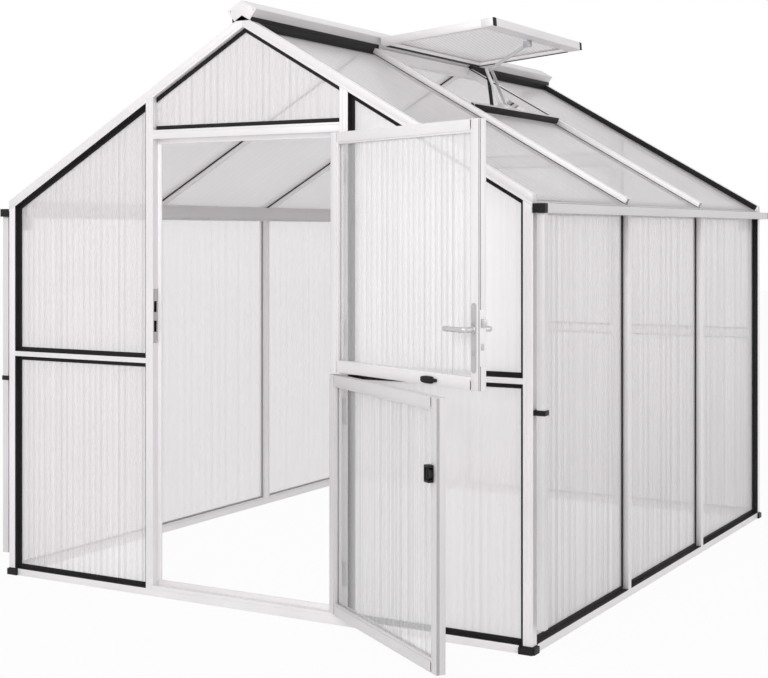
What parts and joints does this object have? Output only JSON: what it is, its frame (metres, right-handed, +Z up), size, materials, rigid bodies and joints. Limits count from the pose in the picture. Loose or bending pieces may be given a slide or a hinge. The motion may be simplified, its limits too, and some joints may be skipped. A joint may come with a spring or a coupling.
{
  "type": "greenhouse",
  "caption": "Walk-in gabled greenhouse: pale aluminium frame, twin-wall panels, two-part door, gutters and an opening roof vent.",
  "frame": {"origin": "centre of the whole part's box, on the ground under the base rails", "axes": "+X to the right seen from the door side, +Y from the door wall to the back wall along the ridge, +Z up"},
  "size_m": [2.452, 3.2828, 2.2882],
  "materials": {
    "frame_aluminium": "light satin anodised",
    "gutter_aluminium": "light satin",
    "twin_wall_panel": "translucent twin-wall sheet with fine ribs",
    "black_rubber": "matt black glazing rubber",
    "bead_white": "smooth pale snap-in bead",
    "black_plastic": "fine grained black",
    "door_hardware": "brushed",
    "bright_steel": "zinc plated",
    "opener_black": "satin black tube"
  },
  "bodies": {
    "frame": {"base_rails": "frame_aluminium", "base_corners": "black_plastic", "door_sill": "frame_aluminium", "corner_posts": "frame_aluminium", "door_posts": "frame_aluminium", "front_rails": "frame_aluminium", "back_posts": "frame_aluminium", "back_rails": "frame_aluminium", "side_bars": "frame_aluminium", "eave_rails": "frame_aluminium", "gable_rafters": "frame_aluminium", "roof_bars": "frame_aluminium", "ridge_beam": "frame_aluminium", "ridge_cap": "frame_aluminium", "ridge_end_plates": "frame_aluminium", "vent_sill": "frame_aluminium", "vent_hinge_channel": "frame_aluminium", "stay_foot_bracket": "bright_steel", "corner_brackets": "bright_steel", "frame_bolts": "bright_steel", "front_panels": "twin_wall_panel", "back_panels": "twin_wall_panel", "side_panels": "twin_wall_panel", "roof_panels": "twin_wall_panel", "gable_wall_strips": "black_rubber", "side_wall_strips": "black_rubber", "roof_strips": "black_rubber", "wall_beads": "bead_white", "roof_beads": "bead_white", "gutters": "gutter_aluminium", "gutter_end_caps": "black_plastic", "downpipes": "gutter_aluminium", "downpipe_clips": "black_plastic", "post_hinges": "door_hardware", "hinge_pins": "bright_steel", "strike_plate": "bright_steel"},
    "upper_leaf": {"upper_leaf_frame": "frame_aluminium", "upper_leaf_panel": "twin_wall_panel", "upper_leaf_hinges": "door_hardware", "handle_plates": "door_hardware", "lock_case": "bright_steel"},
    "levers": {"lever_handles": "door_hardware"},
    "latch_bolt": {"latch_bolt": "bright_steel"},
    "deadbolt": {"deadbolt": "bright_steel"},
    "key_cylinder": {"key_cylinder": "door_hardware"},
    "turn_button": {"turn_button": "black_plastic"},
    "lower_leaf": {"lower_leaf_frame": "frame_aluminium", "lower_leaf_panel": "twin_wall_panel", "lower_leaf_hinges": "door_hardware", "catch_housing": "black_plastic"},
    "catch_slide": {"catch_slide": "black_plastic"},
    "vent_lid": {"vent_frame": "frame_aluminium", "vent_panel": "twin_wall_panel", "vent_rubber_trim": "black_rubber", "vent_stay_bracket": "bright_steel"},
    "stay_arm": {"stay_arm": "bright_steel"},
    "stay_struts": {"stay_struts": "bright_steel", "opener_cylinder": "opener_black"}
  },
  "joints": [
    {"name": "upper_leaf_hinge", "type": "hinge", "parent": "frame", "child": "upper_leaf", "pos_m": [0.426, -1.12562, 1.34], "axis": [0, 0, 1], "range_deg": [-155.5, 14.5]},
    {"name": "lower_leaf_hinge", "type": "hinge", "parent": "frame", "child": "lower_leaf", "pos_m": [0.426, -1.12562, 0.48], "axis": [0, 0, 1], "range_deg": [-145.2, 29.8]},
    {"name": "lever_turn", "type": "hinge", "parent": "upper_leaf", "child": "levers", "pos_m": [1.15759, -1.4832, 1.108], "axis": [-0.4147, -0.91, 0], "range_deg": [0, 35], "stiffness_Nm_per_rad": 1.2, "springref_deg": -20.05},
    {"name": "latch_slide", "type": "slide", "parent": "upper_leaf", "child": "latch_bolt", "axis": [-0.91, 0.4147, 0], "range_m": [0, 0.0125]},
    {"name": "key_turn", "type": "hinge", "parent": "upper_leaf", "child": "key_cylinder", "pos_m": [1.15759, -1.4832, 1.034], "axis": [-0.4147, -0.91, 0], "range_deg": [0, 180.5]},
    {"name": "deadbolt_slide", "type": "slide", "parent": "upper_leaf", "child": "deadbolt", "axis": [0.91, -0.4147, 0], "range_m": [0, 0.02]},
    {"name": "button_turn", "type": "hinge", "parent": "upper_leaf", "child": "turn_button", "pos_m": [0.94439, -1.40363, 0.934], "axis": [-0.4147, -0.91, 0], "range_deg": [0, 90]},
    {"name": "catch_travel", "type": "slide", "parent": "lower_leaf", "child": "catch_slide", "axis": [0.8211, -0.5707, 0], "range_m": [0, 0.016]},
    {"name": "vent_hinge", "type": "hinge", "parent": "frame", "child": "vent_lid", "pos_m": [0.05496, 0.25788, 2.22126], "axis": [0, 1, 0], "range_deg": [0, 35.2]},
    {"name": "strut_pivot", "type": "hinge", "parent": "frame", "child": "stay_struts", "pos_m": [0.42395, 0.25788, 1.97497], "axis": [0, 1, 0], "range_deg": [-51.49, 1]},
    {"name": "arm_pivot", "type": "hinge", "parent": "vent_lid", "child": "stay_arm", "pos_m": [0.53499, 0.25788, 2.2283], "axis": [0, 1, 0], "range_deg": [-1, 14.05]}
  ],
  "couplings": [
    {"joint": "latch_slide", "follows": "lever_turn", "m_per_rad": 0.019644},
    {"joint": "key_turn", "follows": "deadbolt_slide", "rad_per_m": 157},
    {"joint": "strut_pivot", "follows": "vent_hinge", "ratio": -1.4485},
    {"joint": "arm_pivot", "follows": "vent_hinge", "ratio": 0.38488}
  ]
}
